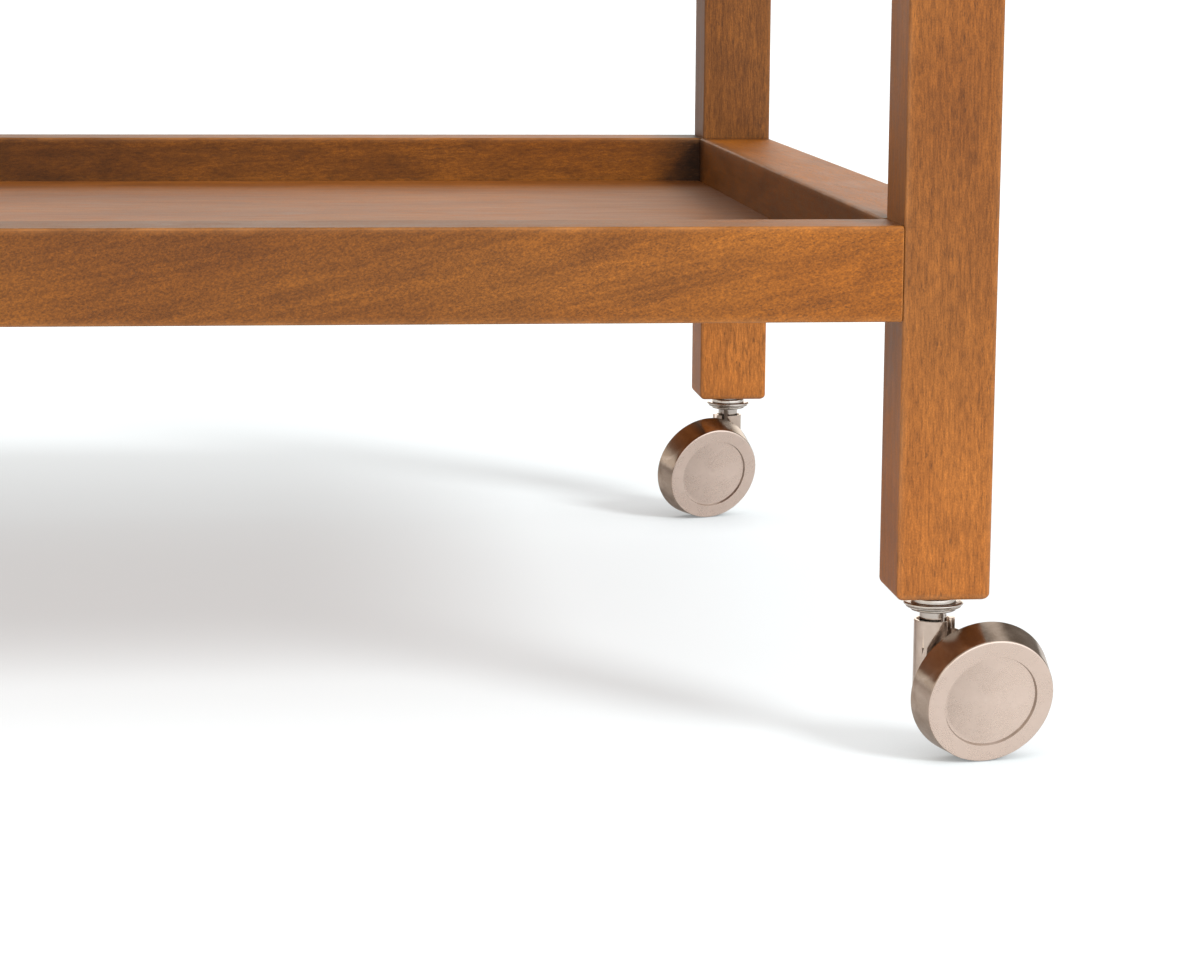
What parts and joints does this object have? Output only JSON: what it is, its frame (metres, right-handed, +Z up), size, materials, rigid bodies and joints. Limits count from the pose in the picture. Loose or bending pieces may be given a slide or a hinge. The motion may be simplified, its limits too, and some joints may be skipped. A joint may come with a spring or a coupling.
{
  "type": "serving cart",
  "caption": "Wooden serving cart with lipped tray levels between square legs, on swivel casters with inclined metal disc wheels.",
  "frame": {"origin": "on the floor, midway between the four legs", "axes": "+X along the cart's length to its right-hand end, +Y from the front rail to the rear rail, +Z up"},
  "size_m": [0.8106, 0.5238, 0.8],
  "materials": {
    "leg_rail_wood": "satin stained hardwood",
    "tray_panel_wood": "satin stained hardwood veneer",
    "tenon_wood": "raw beech",
    "satin_nickel": "satin nickel plate",
    "zinc_plate": "bright zinc plate",
    "nylon": "moulded"
  },
  "bodies": {
    "cart_frame": {"leg_front_left": "leg_rail_wood", "leg_front_right": "leg_rail_wood", "leg_rear_left": "leg_rail_wood", "leg_rear_right": "leg_rail_wood", "lower_panel": "tray_panel_wood", "lower_rail_front": "leg_rail_wood", "lower_rail_left": "leg_rail_wood", "lower_rail_rear": "leg_rail_wood", "lower_rail_right": "leg_rail_wood", "lower_tenon_cross_front_left": "tenon_wood", "lower_tenon_cross_front_right": "tenon_wood", "lower_tenon_cross_rear_left": "tenon_wood", "lower_tenon_cross_rear_right": "tenon_wood", "lower_tenon_side_front_left": "tenon_wood", "lower_tenon_side_front_right": "tenon_wood", "lower_tenon_side_rear_left": "tenon_wood", "lower_tenon_side_rear_right": "tenon_wood", "pintle_front_left": "zinc_plate", "pintle_front_right": "zinc_plate", "pintle_rear_left": "zinc_plate", "pintle_rear_right": "zinc_plate", "socket_front_left": "zinc_plate", "socket_front_right": "zinc_plate", "socket_rear_left": "zinc_plate", "socket_rear_right": "zinc_plate", "upper_panel": "tray_panel_wood", "upper_rail_front": "leg_rail_wood", "upper_rail_left": "leg_rail_wood", "upper_rail_rear": "leg_rail_wood", "upper_rail_right": "leg_rail_wood", "upper_tenon_cross_front_left": "tenon_wood", "upper_tenon_cross_front_right": "tenon_wood", "upper_tenon_cross_rear_left": "tenon_wood", "upper_tenon_cross_rear_right": "tenon_wood", "upper_tenon_side_front_left": "tenon_wood", "upper_tenon_side_front_right": "tenon_wood", "upper_tenon_side_rear_left": "tenon_wood", "upper_tenon_side_rear_right": "tenon_wood"},
    "caster_front_left": {"horn_front_left": "satin_nickel", "axle_front_left": "zinc_plate", "washer_front_left": "nylon"},
    "roller_front_left": {"wheel_front_left": "satin_nickel", "bush_front_left": "nylon"},
    "caster_front_right": {"horn_front_right": "satin_nickel", "axle_front_right": "zinc_plate", "washer_front_right": "nylon"},
    "roller_front_right": {"wheel_front_right": "satin_nickel", "bush_front_right": "nylon"},
    "caster_rear_left": {"horn_rear_left": "satin_nickel", "axle_rear_left": "zinc_plate", "washer_rear_left": "nylon"},
    "roller_rear_left": {"wheel_rear_left": "satin_nickel", "bush_rear_left": "nylon"},
    "caster_rear_right": {"horn_rear_right": "satin_nickel", "axle_rear_right": "zinc_plate", "washer_rear_right": "nylon"},
    "roller_rear_right": {"wheel_rear_right": "satin_nickel", "bush_rear_right": "nylon"}
  },
  "joints": [
    {"name": "caster_swivel_front_left", "type": "hinge", "parent": "cart_frame", "child": "caster_front_left", "pos_m": [-0.364, -0.244, 0.05], "axis": [0, 0, 1], "continuous": true},
    {"name": "wheel_spin_front_left", "type": "hinge", "parent": "caster_front_left", "child": "roller_front_left", "pos_m": [-0.38212, -0.25744, 0.02213], "axis": [-0.1638, -0.9585, -0.2334], "continuous": true},
    {"name": "caster_swivel_front_right", "type": "hinge", "parent": "cart_frame", "child": "caster_front_right", "pos_m": [0.364, -0.244, 0.05], "axis": [0, 0, 1], "continuous": true},
    {"name": "wheel_spin_front_right", "type": "hinge", "parent": "caster_front_right", "child": "roller_front_right", "pos_m": [0.38212, -0.25744, 0.02213], "axis": [0.1638, -0.9585, -0.2334], "continuous": true},
    {"name": "caster_swivel_rear_left", "type": "hinge", "parent": "cart_frame", "child": "caster_rear_left", "pos_m": [-0.364, 0.244, 0.05], "axis": [0, 0, 1], "continuous": true},
    {"name": "wheel_spin_rear_left", "type": "hinge", "parent": "caster_rear_left", "child": "roller_rear_left", "pos_m": [-0.35456, 0.22351, 0.02213], "axis": [-0.3166, -0.9194, -0.2334], "continuous": true},
    {"name": "caster_swivel_rear_right", "type": "hinge", "parent": "cart_frame", "child": "caster_rear_right", "pos_m": [0.364, 0.244, 0.05], "axis": [0, 0, 1], "continuous": true},
    {"name": "wheel_spin_rear_right", "type": "hinge", "parent": "caster_rear_right", "child": "roller_rear_right", "pos_m": [0.35456, 0.22351, 0.02213], "axis": [0.3166, -0.9194, -0.2334], "continuous": true}
  ]
}
